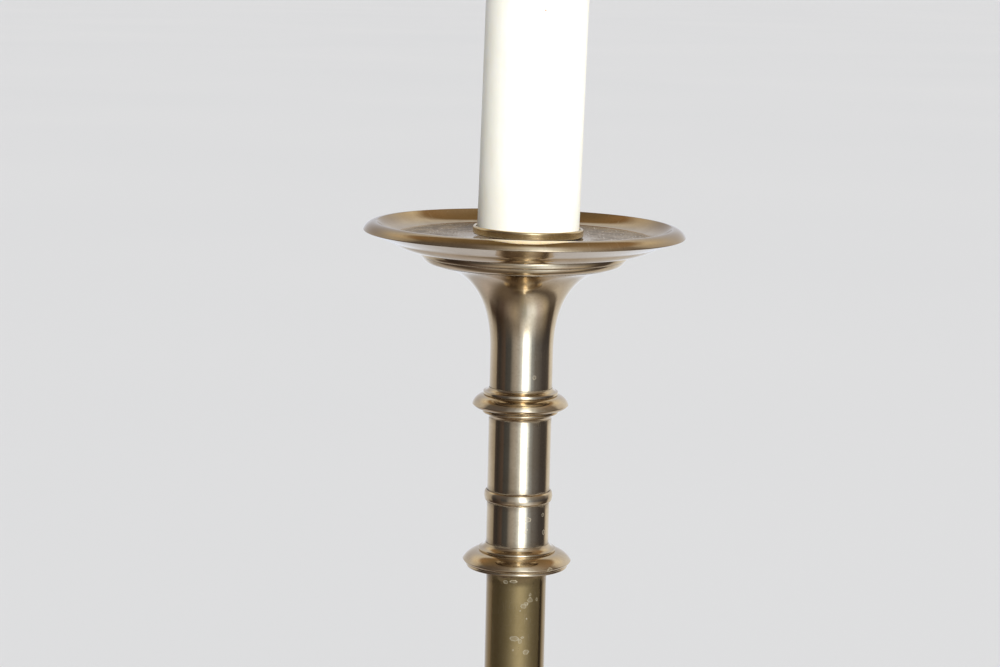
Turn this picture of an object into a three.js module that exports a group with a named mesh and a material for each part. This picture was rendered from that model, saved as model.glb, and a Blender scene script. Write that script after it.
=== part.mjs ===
// A brass pricket candlestick with one thick candle, in millimetres, +Z up.
// The origin is the centre of the felt underside, on the surface that the candlestick stands on.
// The stem is a stack of turned brass pieces, pulled together by a steel tie rod through its middle.
// Every turned piece is drawn as a profile of [radius, height] points. The points run up the outside
// and down the bore, so that the faces point out.

import * as THREE from 'three';

// Roundness of the turned pieces, in flats around the axis
const fineFacets = 40;
const stemFacets = 24;
const smallFacets = 16;

// Base
const feltRadius = 100;
const feltThickness = 2;
const plateRadius = 101;
const plateThickness = 1.5;
const baseRadius = 102;
const baseHeight = 53;
const baseWall = 2.5;
const weightRadius = 74;
const weightHeight = 44;
const washerRadius = 14;
const washerThickness = 2;
const nutHeight = 4;

// Stem
const sleeveRadius = 15.9;
const sleeveBore = 12.5;
const shaftRadius = 15.25;
const shaftWall = 1.5;
const shaftVisible = 103;
const castBore = 8.5;
const neckHeight = 62.2;
const neckRimRadius = 49.6;
const trumpetRimRadius = 45.3;
const neckRimEdge = 0.5;
const beadHeight = 6.2;
const beadRadius = 17.4;
const upperSleeveHeight = 37;
const baseSleeveHeight = 34.3;
const shortSleeveHeight = 21.2;
const knopHeight = 15.3;
const knopRadius = 24.3;
const centreKnopHeight = 40;
const centreKnopRadius = 29;
const collarHeight = 12.2;
const collarRadius = 27.5;
const collarSocketDepth = 8.4;
const bushFlange = 2;
const bushSpigot = 8;

// Pan
const panRadius = 80.2;
const panCrestRadius = 73.6;
const panCrestRise = 4.1;
const panFloorRadius = 61;
const panFloorDrop = 2.1;
const panWall = 2.2;
const panDepth = 9.3;
const panCollarGap = 0.4;
const panCollarRadius = 52.3;
const panCollarDepth = 15.8;

// Tie rod, pricket and coupling
const rodRadius = 4;
const rodHoleRadius = 4.3;
const shankLength = 32;
const flangeRadius = 6;
const flangeHeight = 3;
const spikeRadius = 4.2;
const spikeHeight = 42;
const couplingLength = 30;
const hexAcrossFlats = 13;

// Candle and the loose cup it stands in
const candleRadius = 25.4;
const candleLength = 228.6;
const candleHoleRadius = 8.4;
const candleHoleDepth = 50;
const wickRadius = 1.2;
const wickAbove = 11;
const wickBelow = 8;
const cupRadius = 27.6;
const cupHeight = 4.1;
const cupFloor = 1.2;
const cupHoleRadius = 8.6;
const candleOffset = 1.8;
const candleLean = THREE.MathUtils.degToRad(1);
const looseGap = 0.3;
const cupSeatGap = cupRadius * Math.sin(candleLean) + looseGap;

const polishedBrass = { color: 0xb0935f, metalness: 1, roughness: 0.22 };
const lacqueredBrass = { color: 0x8d7d4c, metalness: 1, roughness: 0.42 };
const brightSteel = { color: 0xa8a9ab, metalness: 1, roughness: 0.4 };
const castIron = { color: 0x3b3a39, metalness: 0.9, roughness: 0.8 };
const ivoryWax = { color: 0xf3edd8, metalness: 0, roughness: 0.55 };
const cotton = { color: 0xe6dfcb, metalness: 0, roughness: 0.95 };
const greenFelt = { color: 0x31493a, metalness: 0, roughness: 1 };

// A circular arc between two profile points, without its first point. A positive rise bows it to the
// right of the way it runs, which is outwards on a profile that runs up the outside.
function arc(from, to, rise, steps = 4) {
  const chord = [to[0] - from[0], to[1] - from[1]];
  const length = Math.hypot(chord[0], chord[1]);
  const radius = (length * length / 4 + rise * rise) / (2 * Math.abs(rise));
  const side = Math.sign(rise);
  const normal = [chord[1] / length * side, -chord[0] / length * side];
  const inset = radius - Math.abs(rise);
  const centre = [
    (from[0] + to[0]) / 2 - normal[0] * inset,
    (from[1] + to[1]) / 2 - normal[1] * inset,
  ];
  const start = Math.atan2(from[1] - centre[1], from[0] - centre[0]);
  const end = Math.atan2(to[1] - centre[1], to[0] - centre[0]);
  const sweep = Math.atan2(Math.sin(end - start), Math.cos(end - start));
  const points = [];
  for (let step = 1; step < steps; step += 1) {
    const angle = start + sweep * step / steps;
    points.push([centre[0] + radius * Math.cos(angle), centre[1] + radius * Math.sin(angle)]);
  }
  points.push(to);
  return points;
}

// A cubic curve between two profile points, without its first point.
function curve(from, handleFrom, handleTo, to, steps) {
  const path = new THREE.CubicBezierCurve(
    new THREE.Vector2(...from),
    new THREE.Vector2(...handleFrom),
    new THREE.Vector2(...handleTo),
    new THREE.Vector2(...to),
  );
  return path.getPoints(steps).slice(1).map((point) => [point.x, point.y]);
}

// The same profile the other way up, in the same height.
function upsideDown(profile, height) {
  return profile.map(([radius, level]) => [radius, height - level]).reverse();
}

function turned(profile, facets) {
  const points = profile.map(([radius, level]) => new THREE.Vector2(radius, level));
  return new THREE.LatheGeometry(points, facets).rotateX(Math.PI / 2);
}

// A turned piece with a plain hole through it: outside is its outer profile, from bottom to top.
function bored(outside, bore, facets) {
  const bottom = outside[0][1];
  const top = outside[outside.length - 1][1];
  return turned([[bore, bottom], ...outside, [bore, top], [bore, bottom]], facets);
}

// A turned piece without a hole: outside is its outer profile, from bottom to top.
function solid(outside, facets) {
  const bottom = outside[0][1];
  const top = outside[outside.length - 1][1];
  return turned([[0, bottom], ...outside, [0, top]], facets);
}

function tube(radius, bore, length) {
  return bored([[radius, 0], [radius, length]], bore, stemFacets);
}

function hexNut(bore, height) {
  const corner = hexAcrossFlats / Math.sqrt(3);
  const outline = new THREE.Shape();
  for (let side = 0; side < 6; side += 1) {
    const angle = side * Math.PI / 3;
    const draw = side === 0 ? 'moveTo' : 'lineTo';
    outline[draw](corner * Math.cos(angle), corner * Math.sin(angle));
  }
  outline.closePath();
  const hole = new THREE.Path();
  hole.absarc(0, 0, bore, 0, 2 * Math.PI, true);
  outline.holes.push(hole);
  return new THREE.ExtrudeGeometry(outline, { depth: height, bevelEnabled: false, curveSegments: 8 });
}

// Half-round bead ring
function beadRing() {
  const foot = [sleeveRadius, 0];
  const outside = [foot, ...arc(foot, [sleeveRadius, beadHeight], beadRadius - sleeveRadius)];
  return bored(outside, castBore, stemFacets);
}

// Bell collar: its rim is at the bottom, and a socket under it takes the end of a shaft.
function bellCollar() {
  const rim = [collarRadius - 2, 0];
  const widest = [collarRadius, 1.6];
  const lip = [19.5, 8.3];
  const seat = [sleeveRadius, collarHeight];
  const socketRadius = shaftRadius + looseGap;
  return [
    [castBore, collarSocketDepth],
    [socketRadius, collarSocketDepth],
    [socketRadius, 3.2],
    [rim[0] - 1, 0],
    rim,
    ...arc(rim, widest, 0.5, 2),
    ...arc(widest, lip, 1.9),
    ...arc(lip, seat, -0.7, 2),
    [castBore, collarHeight],
    [castBore, collarSocketDepth],
  ];
}

// Knop with a groove and a cove below, and a fillet ring above
function upperKnop() {
  const outside = [
    [sleeveRadius, 0],
    ...arc([sleeveRadius, 0], [19, 3.1], -0.5, 2),
    [18.3, 3.9],
    ...arc([18.3, 3.9], [knopRadius, 6.9], 1.0, 3),
    ...arc([knopRadius, 6.9], [18.4, 12.5], 1.3, 3),
    ...arc([18.4, 12.5], [sleeveRadius, knopHeight], -0.6, 2),
  ];
  return bored(outside, castBore, stemFacets);
}

// Larger knop at the middle of the stem, the same above and below its widest line
function centreKnop() {
  const half = centreKnopHeight / 2;
  const lower = [
    [sleeveRadius, 0],
    ...arc([sleeveRadius, 0], [19.5, 7.5], -0.9, 2),
    ...arc([19.5, 7.5], [centreKnopRadius, half], 3.2),
  ];
  const upper = upsideDown(lower, centreKnopHeight).slice(1);
  return bored([...lower, ...upper], castBore, stemFacets);
}

// Trumpet neck: straight at the bottom, then flared out almost flat to a thin rim at the top
function flaredNeck(rimRadius) {
  const flareStart = [sleeveRadius, 18.5];
  const rimFoot = [rimRadius, neckHeight - neckRimEdge];
  return [
    [castBore, 0],
    [sleeveRadius, 0],
    flareStart,
    ...curve(flareStart, [sleeveRadius, 43.7], [25.6, 58.9], rimFoot, 9),
    [rimRadius, neckHeight],
    [castBore, neckHeight],
    [castBore, 0],
  ];
}

// Moulding under the pan: a quarter round below an upright band, with a boss that the pan sits on
function panCollar() {
  const mouldingTop = panCollarDepth - panDepth - panCollarGap;
  const bossTop = panCollarDepth - panFloorDrop - panWall;
  const bossRadius = panCollarRadius - 3.3;
  const foot = [trumpetRimRadius + 0.2, 0];
  const roundTop = [panCollarRadius - 1.1, 3.5];
  const outside = [
    foot,
    ...arc(foot, roundTop, 0.9, 5),
    [panCollarRadius, 3.8],
    [panCollarRadius, mouldingTop],
    [bossRadius, mouldingTop],
    [bossRadius, bossTop],
  ];
  return bored(outside, castBore, fineFacets);
}

// Drip pan, with its height measured from the level of its widest edge
function dripPan() {
  const underFloor = -panFloorDrop - panWall;
  const skirtRadius = 54;
  const bandRadius = 67;
  const edge = [panRadius, 0];
  const edgeBelow = [panRadius - 0.8, -1.1];
  const band = [bandRadius, -5];
  const skirt = [skirtRadius, -panDepth];
  const floorEdge = [panFloorRadius, -panFloorDrop];
  const crest = [panCrestRadius, panCrestRise];
  const loop = [
    [rodHoleRadius, underFloor],
    [skirtRadius - 4, underFloor],
    [skirtRadius - 3, -panDepth],
    skirt,
    ...arc(skirt, band, 1.2, 4),
    edgeBelow,
    ...arc(edgeBelow, edge, 0.25, 2),
    ...arc(edge, crest, 0.9, 4),
    ...arc(crest, floorEdge, -1.4, 4),
    [rodHoleRadius, -panFloorDrop],
    [rodHoleRadius, underFloor],
  ];
  return turned(loop, fineFacets);
}

function pricketSpike() {
  const outside = [
    [rodRadius, -shankLength],
    [rodRadius, 0],
    [flangeRadius, 0],
    [flangeRadius, flangeHeight],
    [spikeRadius, flangeHeight],
    [spikeRadius * 0.72, spikeHeight * 0.6],
    [0.5, spikeHeight],
  ];
  return solid(outside, smallFacets);
}

// Stepped and domed base shell, open below
function baseDome() {
  const seat = [neckRimRadius + 1.6, baseHeight];
  const shoulder = [54.5, 49.5];
  const coveFoot = [71, 26];
  const ovoloTop = [73.5, 24];
  const ovoloFoot = [88, 12];
  const edgeTop = [90.5, 10.5];
  const edgeWide = [baseRadius, 4.5];
  const edgeFoot = [baseRadius - 1, 0];
  const innerSeat = baseHeight - baseWall;
  const innerShoulder = [shoulder[0] - 5, innerSeat];
  return [
    [baseRadius - 6, 0],
    edgeFoot,
    ...arc(edgeFoot, edgeWide, 0.5, 2),
    ...arc(edgeWide, edgeTop, 2.6, 3),
    ovoloFoot,
    ...arc(ovoloFoot, ovoloTop, 3.2),
    coveFoot,
    ...arc(coveFoot, shoulder, -4.5, 5),
    seat,
    [rodHoleRadius, baseHeight],
    [rodHoleRadius, innerSeat],
    innerShoulder,
    ...arc(innerShoulder, [coveFoot[0] - 3, coveFoot[1] - 2.5], 4.5),
    [ovoloFoot[0] - 3, ovoloFoot[1] - 3.5],
    [baseRadius - 6, 5],
    [baseRadius - 6, 0],
  ];
}

// Iron ring with a boss that reaches up to the underside of the base shell
function baseWeight() {
  const bossRadius = 24;
  const outside = [
    [weightRadius, 0],
    [weightRadius, 4],
    [56, 13],
    [bossRadius, 22],
    [bossRadius, weightHeight],
  ];
  return bored(outside, rodHoleRadius, stemFacets);
}

// Bush in the end of a shaft, with its flange at the top
function shaftBush() {
  const spigotRadius = shaftRadius - shaftWall - looseGap;
  const outside = [
    [spigotRadius, 0],
    [spigotRadius, bushSpigot],
    [shaftRadius, bushSpigot],
    [shaftRadius, bushSpigot + bushFlange],
  ];
  return bored(outside, rodHoleRadius, smallFacets);
}

function candleCup() {
  const inner = candleRadius + 2 * looseGap;
  const corner = [cupRadius, 0.9];
  const shoulder = [cupRadius, cupHeight - 1.1];
  const lip = [inner + 0.5, cupHeight];
  return turned([
    [cupHoleRadius, 0],
    [cupRadius - 0.9, 0],
    ...arc([cupRadius - 0.9, 0], corner, 0.25, 2),
    shoulder,
    ...arc(shoulder, lip, 0.35, 3),
    [inner, cupHeight - 0.5],
    [inner, cupFloor],
    [cupHoleRadius, cupFloor],
    [cupHoleRadius, 0],
  ], fineFacets);
}

// Wax pillar, drilled from below for the spike and from above for the wick
function candlePillar() {
  const edgeStart = [candleRadius, candleLength - 4];
  const edgeEnd = [candleRadius - 3, candleLength - 1.5];
  const wickHole = wickRadius + looseGap;
  return turned([
    [0, candleHoleDepth],
    [candleHoleRadius, candleHoleDepth - 4],
    [candleHoleRadius, 0],
    [candleRadius, 0],
    edgeStart,
    ...arc(edgeStart, edgeEnd, 0.7, 3),
    [wickHole, candleLength],
    [wickHole, candleLength - wickBelow],
    [0, candleLength - wickBelow],
  ], fineFacets);
}

const candlestick = new THREE.Group();

function addPiece(name, geometry, finish, level, parent = candlestick) {
  const piece = new THREE.Mesh(geometry, new THREE.MeshStandardMaterial(finish));
  piece.name = name;
  piece.position.z = level;
  parent.add(piece);
}

// Levels of the stack, from the surface up
const plateLevel = feltThickness;
const baseLevel = plateLevel + plateThickness;
const baseSeat = baseLevel + baseHeight;
const baseBeadLevel = baseSeat + neckHeight;
const baseSleeveLevel = baseBeadLevel + beadHeight;
const baseCollarLevel = baseSleeveLevel + baseSleeveHeight;
const lowerShaftRim = baseCollarLevel + collarHeight;
const centreCollarLevel = lowerShaftRim + shaftVisible;
const centreKnopLevel = centreCollarLevel + collarHeight;
const centreTopCollarLevel = centreKnopLevel + centreKnopHeight;
const upperShaftRim = centreTopCollarLevel + collarHeight;
const skirtLevel = upperShaftRim + shaftVisible;
const lowerSleeveLevel = skirtLevel + collarHeight;
const beadLevel = lowerSleeveLevel + shortSleeveHeight;
const upperSleeveLevel = beadLevel + beadHeight;
const upperKnopLevel = upperSleeveLevel + upperSleeveHeight;
const neckLevel = upperKnopLevel + knopHeight;
const panCollarLevel = neckLevel + neckHeight;
const panLevel = panCollarLevel + panCollarDepth;
const panFloorLevel = panLevel - panFloorDrop;
const weightLevel = baseSeat - baseWall - weightHeight;
const washerLevel = weightLevel - washerThickness;
const nutLevel = washerLevel - nutHeight;
const couplingLevel = panFloorLevel - shankLength - couplingLength / 2;
const rodBottom = nutLevel - looseGap;
const rodTop = panFloorLevel - shankLength - 0.6;
const shaftLength = shaftVisible + 2 * collarSocketDepth - bushFlange;

function disc(radius, thickness) {
  return solid([[radius, 0], [radius, thickness]], fineFacets);
}

function addBase() {
  addPiece('felt_pad', disc(feltRadius, feltThickness), greenFelt, 0);
  addPiece('base_plate', disc(plateRadius, plateThickness), brightSteel, plateLevel);
  addPiece('base_dome', turned(baseDome(), fineFacets), polishedBrass, baseLevel);
  addPiece('base_weight', baseWeight(), castIron, weightLevel);
  const washer = bored([[washerRadius, 0], [washerRadius, washerThickness]], rodHoleRadius, smallFacets);
  addPiece('base_washer', washer, brightSteel, washerLevel);
  addPiece('base_nut', hexNut(rodHoleRadius, nutHeight), brightSteel, nutLevel);
}

function addStem() {
  const bell = bellCollar();
  const bellUp = upsideDown(bell, collarHeight);
  const baseNeck = upsideDown(flaredNeck(neckRimRadius), neckHeight);
  const shaft = () => tube(shaftRadius, shaftRadius - shaftWall, shaftLength);
  addPiece('base_neck', turned(baseNeck, fineFacets), polishedBrass, baseSeat);
  addPiece('base_bead_ring', beadRing(), polishedBrass, baseBeadLevel);
  const baseSleeve = tube(sleeveRadius, sleeveBore, baseSleeveHeight);
  addPiece('base_sleeve', baseSleeve, polishedBrass, baseSleeveLevel);
  addPiece('base_skirt_collar', turned(bellUp, stemFacets), polishedBrass, baseCollarLevel);
  addPiece('lower_shaft', shaft(), lacqueredBrass, lowerShaftRim - collarSocketDepth + bushFlange);
  addPiece('centre_collar_bottom', turned(bell, stemFacets), polishedBrass, centreCollarLevel);
  addPiece('centre_knop', centreKnop(), polishedBrass, centreKnopLevel);
  addPiece('centre_collar_top', turned(bellUp, stemFacets), polishedBrass, centreTopCollarLevel);
  addPiece('upper_shaft', shaft(), lacqueredBrass, upperShaftRim - collarSocketDepth);
  addPiece('skirt_collar', turned(bell, stemFacets), polishedBrass, skirtLevel);
  const shortSleeve = tube(sleeveRadius, sleeveBore, shortSleeveHeight);
  addPiece('lower_sleeve', shortSleeve, polishedBrass, lowerSleeveLevel);
  addPiece('bead_ring', beadRing(), polishedBrass, beadLevel);
  const upperSleeve = tube(sleeveRadius, sleeveBore, upperSleeveHeight);
  addPiece('upper_sleeve', upperSleeve, polishedBrass, upperSleeveLevel);
  addPiece('upper_knop', upperKnop(), polishedBrass, upperKnopLevel);
  addPiece('trumpet_neck', turned(flaredNeck(trumpetRimRadius), fineFacets), polishedBrass, neckLevel);
}

function addRod() {
  const bushLevel = skirtLevel + collarSocketDepth - bushSpigot - bushFlange;
  addPiece('upper_bush', shaftBush(), polishedBrass, bushLevel);
  const lowerBushTop = lowerShaftRim - collarSocketDepth + bushFlange + bushSpigot;
  addPiece('lower_bush', shaftBush().rotateX(Math.PI), polishedBrass, lowerBushTop);
  const rodLength = rodTop - rodBottom;
  addPiece('tie_rod', solid([[rodRadius, 0], [rodRadius, rodLength]], smallFacets), brightSteel, rodBottom);
  addPiece('rod_coupling', hexNut(rodHoleRadius, couplingLength), brightSteel, couplingLevel);
}

function addTop() {
  addPiece('pan_collar', panCollar(), polishedBrass, panCollarLevel);
  addPiece('drip_pan', dripPan(), polishedBrass, panLevel);
  addPiece('pricket_spike', pricketSpike(), polishedBrass, panFloorLevel);
}

// The cup and the candle sit loose on the pricket: a little off its axis, and leaning towards +X.
function addCandle() {
  const leaning = new THREE.Group();
  leaning.position.set(candleOffset, 0, panFloorLevel + cupSeatGap);
  leaning.rotation.y = candleLean;
  candlestick.add(leaning);
  const footLevel = cupFloor + looseGap;
  const wickOutside = [[wickRadius, looseGap - wickBelow], [wickRadius, wickAbove]];
  addPiece('candle_cup', candleCup(), polishedBrass, 0, leaning);
  addPiece('candle', candlePillar(), ivoryWax, footLevel, leaning);
  addPiece('candle_wick', solid(wickOutside, smallFacets), cotton, footLevel + candleLength, leaning);
}

addBase();
addStem();
addRod();
addTop();
addCandle();

export default candlestick;
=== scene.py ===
import math

import bpy
from mathutils import Matrix, Vector


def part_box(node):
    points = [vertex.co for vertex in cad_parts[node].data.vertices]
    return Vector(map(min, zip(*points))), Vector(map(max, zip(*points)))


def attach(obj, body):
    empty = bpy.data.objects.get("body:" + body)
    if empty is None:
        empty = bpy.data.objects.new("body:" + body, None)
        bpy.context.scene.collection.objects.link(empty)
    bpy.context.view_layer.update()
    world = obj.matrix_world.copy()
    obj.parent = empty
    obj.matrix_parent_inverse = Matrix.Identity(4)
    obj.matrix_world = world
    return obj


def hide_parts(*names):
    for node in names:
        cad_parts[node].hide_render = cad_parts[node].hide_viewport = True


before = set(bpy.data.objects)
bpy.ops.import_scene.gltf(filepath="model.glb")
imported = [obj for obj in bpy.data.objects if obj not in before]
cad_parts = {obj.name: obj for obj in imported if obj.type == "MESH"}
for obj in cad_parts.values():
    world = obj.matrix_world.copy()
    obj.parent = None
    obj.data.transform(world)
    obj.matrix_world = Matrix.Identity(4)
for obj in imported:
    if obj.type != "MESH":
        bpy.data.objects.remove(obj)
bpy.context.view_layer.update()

# Outlines are drawn in millimetres, as (radius, height) above the bottom of the piece.
# A shape is an outline and the creases where dirt and painted shade darken it.
MM = 0.001
STEM_SEGMENTS = 128
WIDE_SEGMENTS = 192
EASE = 0.28

# Scratches and water marks are laid out on the surface as if unrolled at this radius.
UNROLLED_RADIUS = 16.0

STEM_BORE = 8.5
SLEEVE_BORE = 12.5
SHAFT_WALL = 1.5
ROD_HOLE = 4.3
PAN_EDGE_LEVEL = 9.3
PAN_FLOOR_LEVEL = 7.2
PAN_FLOOR_RADIUS = 61
DOME_WALL = 2.5
CUP_HEIGHT = 4.1
CUP_WALL = 1.6
CUP_HOLE = 8.6
CANDLE_FOOT = 1.5
CANDLE_LENGTH = 228.6
CANDLE_LEAN = math.radians(1.0)
PRICKET_SHANK = 32

# The background as it is seen, the soft light from all round, and the brightness of the mirrored room.
PALE = (0.74, 0.745, 0.755)
GLOW = (0.42, 0.42, 0.42)
ROOM_BRIGHTNESS = 4.0


class Size:
    """What the frame says of a CAD node, in millimetres."""

    def __init__(self, node):
        low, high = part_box(node)
        self.radius = (high[1] - low[1]) / 2 / MM
        self.height = (high[2] - low[2]) / MM
        self.bottom = low[2] / MM
        self.top = high[2] / MM
        self.centre = (Vector(low) + Vector(high)) / 2 / MM


# The radius of the plain sleeves, where every moulding of the stem meets them.
SEAT = Size("upper_sleeve").radius


# ---------------------------------------------------------------- outlines


def arc(start, end, rise, steps=10):
    """Points of a circular arc after start, bowed by rise to the right of the way it runs."""
    run, climb = end[0] - start[0], end[1] - start[1]
    length = math.hypot(run, climb)
    radius = (length * length / 4 + rise * rise) / (2 * abs(rise))
    side = math.copysign(1, rise)
    inset = radius - abs(rise)
    middle = ((start[0] + end[0]) / 2, (start[1] + end[1]) / 2)
    centre = (middle[0] - climb / length * side * inset, middle[1] + run / length * side * inset)
    first = math.atan2(start[1] - centre[1], start[0] - centre[0])
    last = math.atan2(end[1] - centre[1], end[0] - centre[0])
    sweep = math.atan2(math.sin(last - first), math.cos(last - first))
    points = []
    for step in range(1, steps):
        angle = first + sweep * step / steps
        points.append((centre[0] + radius * math.cos(angle), centre[1] + radius * math.sin(angle)))
    return points + [end]


def curve(start, handle_start, handle_end, end, steps):
    """Points of a cubic curve after start."""
    points = []
    for step in range(1, steps + 1):
        t = step / steps
        weights = ((1 - t) ** 3, 3 * (1 - t) ** 2 * t, 3 * (1 - t) * t * t, t ** 3)
        corners = (start, handle_start, handle_end, end)
        points.append(tuple(sum(w * c[axis] for w, c in zip(weights, corners)) for axis in (0, 1)))
    return points


def crease(point, reach, strength):
    """A place darkened by dirt and painted shade: darkest at the point, and gone at its reach."""
    return (*point, reach, strength)


def flipped(outline, height):
    return [(radius, height - level) for radius, level in reversed(outline)]


def upside_down(shape, height):
    outline, creases = shape
    return flipped(outline, height), [(radius, height - level, *rest) for radius, level, *rest in creases]


def eased(outline, size, sharpest=math.radians(28)):
    """The closed outline with each sharp corner rounded off."""
    rounded = []
    count = len(outline)
    for index, corner in enumerate(outline):
        before, after = Vector(outline[index - 1]), Vector(outline[(index + 1) % count])
        here = Vector(corner)
        back, ahead = before - here, after - here
        turn = math.pi - back.angle(ahead, math.pi)
        if turn < sharpest or corner[0] == 0:
            rounded.append(corner)
            continue
        reach = min(size, back.length * 0.45, ahead.length * 0.45)
        first, last = here + back.normalized() * reach, here + ahead.normalized() * reach
        for t in (0, 0.25, 0.5, 0.75, 1):
            point = first * (1 - t) ** 2 + here * 2 * t * (1 - t) + last * t * t
            rounded.append(tuple(point))
    return rounded


def refined(outline, creases, fine=0.15, coarse=3.0, longest_fine=12):
    """The closed outline with more points where dirt and painted shade darken it."""
    points = []
    count = len(outline)
    for index, start in enumerate(outline):
        end = outline[(index + 1) % count]
        points.append(start)
        length = math.dist(start, end)
        near = any(
            max(math.dist(start, spot), math.dist(end, spot)) < reach + length
            for *spot, reach, _ in creases
        )
        pieces = max(1, math.ceil(length / (fine if near and length < longest_fine else coarse)))
        if start[0] == 0 and end[0] == 0:
            pieces = 1
        for step in range(1, pieces):
            t = step / pieces
            points.append((start[0] + (end[0] - start[0]) * t, start[1] + (end[1] - start[1]) * t))
    return points


def dirt_and_shade_at(point, creases):
    deepest = 0.0
    for *spot, reach, strength in creases:
        nearness = max(0.0, 1 - math.dist(point, spot) / reach)
        deepest = max(deepest, strength * nearness * nearness * (3 - 2 * nearness))
    return deepest


# ---------------------------------------------------------------- pieces from outlines


def lathe(name, shape, bottom, segments=STEM_SEGMENTS, wobble=None, ease=EASE):
    """A closed turned piece about +Z, in metres. Its points carry how much dirt and painted shade darken
    them.
    """
    outline, creases = shape
    outline = refined(eased(outline, ease), creases)
    gathered = [dirt_and_shade_at(point, creases) for point in outline]
    verts, dirt, columns = [], [], []
    for segment in range(segments):
        angle = 2 * math.pi * segment / segments
        column = []
        for row, (radius, level) in enumerate(outline):
            if radius == 0 and segment:
                column.append(columns[0][row])
                continue
            if wobble:
                radius, level = wobble(radius, level, angle)
            place = (radius * math.cos(angle), radius * math.sin(angle), bottom + level)
            column.append(len(verts))
            verts.append(tuple(MM * value for value in place))
            dirt.append(gathered[row])
        columns.append(column)
    rows = len(outline)
    faces = []
    for segment, here in enumerate(columns):
        there = columns[(segment + 1) % segments]
        for row in range(rows):
            above = (row + 1) % rows
            corners = dict.fromkeys((here[row], there[row], there[above], here[above]))
            if len(corners) > 2:
                faces.append(tuple(corners))
    return finished_mesh(name, verts, faces, dirt)


def finished_mesh(name, verts, faces, dirt):
    mesh = bpy.data.meshes.new(name)
    mesh.from_pydata(verts, [], faces)
    mesh.validate()
    mesh.shade_smooth()
    gathered = mesh.attributes.new("dirt", "FLOAT", "POINT")
    gathered.data.foreach_set("value", dirt)
    piece = bpy.data.objects.new(name, mesh)
    bpy.context.scene.collection.objects.link(piece)
    smoothing = piece.modifiers.new("even_normals", "WEIGHTED_NORMAL")
    smoothing.weight = 60
    return piece


def leaning(piece, pivot):
    """Tips a finished piece over towards +X about a point in millimetres."""
    place = Matrix.Translation(pivot * MM)
    piece.data.transform(place @ Matrix.Rotation(CANDLE_LEAN, 4, "Y") @ place.inverted())


def settle(piece, body, material, node):
    """Puts a finished piece on its body, in place of its CAD node."""
    piece.data.materials.append(material)
    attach(piece, body)
    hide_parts(node)


# ---------------------------------------------------------------- shader building


class Nodes:
    """A node tree. Each method adds nodes and returns the socket that carries the result."""

    def __init__(self, tree):
        self.tree = tree
        tree.nodes.clear()

    def node(self, kind, **settings):
        made = self.tree.nodes.new("ShaderNode" + kind)
        for key, value in settings.items():
            setattr(made, key, value)
        return made

    def feed(self, socket, value):
        if isinstance(value, bpy.types.NodeSocket):
            self.tree.links.new(value, socket)
        elif value is not None:
            socket.default_value = value

    def math(self, operation, first, second=None, clamp=False):
        made = self.node("Math", operation=operation, use_clamp=clamp)
        self.feed(made.inputs[0], first)
        self.feed(made.inputs[1], second)
        return made.outputs[0]

    def vector(self, operation, first, second=None, scale=None):
        made = self.node("VectorMath", operation=operation)
        self.feed(made.inputs[0], first)
        self.feed(made.inputs[1], second)
        if scale is not None:
            made.inputs["Scale"].default_value = scale
        return made.outputs["Value"] if operation in ("DISTANCE", "LENGTH") else made.outputs[0]

    def parts(self, vector):
        made = self.node("SeparateXYZ")
        self.feed(made.inputs[0], vector)
        return made.outputs[0], made.outputs[1], made.outputs[2]

    def flat(self, first, second):
        """The vector (first, second, 0)."""
        made = self.node("CombineXYZ")
        self.feed(made.inputs[0], first)
        self.feed(made.inputs[1], second)
        return made.outputs[0]

    def azimuth(self, across, deep):
        """The angle about +Z, from 0 towards -Y, growing towards +X."""
        return self.math("ARCTAN2", across, self.math("MULTIPLY", deep, -1.0))

    def stretched(self, vector, scale, turn=0.0):
        made = self.node("Mapping")
        self.feed(made.inputs["Vector"], vector)
        made.inputs["Rotation"].default_value = (0, 0, turn)
        made.inputs["Scale"].default_value = scale
        return made.outputs[0]

    def noise(self, vector, scale, detail=2.0, roughness=0.5, distortion=0.0):
        made = self.node("TexNoise")
        self.feed(made.inputs["Vector"], vector)
        self.feed(made.inputs["Scale"], scale)
        self.feed(made.inputs["Detail"], detail)
        self.feed(made.inputs["Roughness"], roughness)
        self.feed(made.inputs["Distortion"], distortion)
        return made.outputs[0]

    def cells(self, vector, scale):
        """(distance to the nearest point, a random value for that point)"""
        made = self.node("TexVoronoi")
        self.feed(made.inputs["Vector"], vector)
        self.feed(made.inputs["Scale"], scale)
        shade = self.node("SeparateColor")
        self.feed(shade.inputs[0], made.outputs["Color"])
        return made.outputs["Distance"], shade.outputs[0]

    def ramp(self, value, low, high, to_low=0.0, to_high=1.0, smooth=True):
        made = self.node("MapRange", interpolation_type="SMOOTHSTEP" if smooth else "LINEAR")
        for socket, number in zip(made.inputs, (value, low, high, to_low, to_high)):
            self.feed(socket, number)
        return made.outputs[0]

    def blend(self, factor, first, second):
        """Mixes two colours."""
        made = self.node("Mix", data_type="RGBA")
        self.feed(made.inputs[0], factor)
        for socket, value in ((made.inputs[6], first), (made.inputs[7], second)):
            self.feed(socket, value if isinstance(value, bpy.types.NodeSocket) else (*value, 1))
        return made.outputs[2]

    def bump(self, height, distance, strength=1.0, normal=None):
        """Raises the surface by height, up to a distance in millimetres."""
        made = self.node("Bump")
        self.feed(made.inputs["Height"], height)
        self.feed(made.inputs["Distance"], distance * MM)
        self.feed(made.inputs["Strength"], strength)
        self.feed(made.inputs["Normal"], normal)
        return made.outputs[0]


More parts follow.
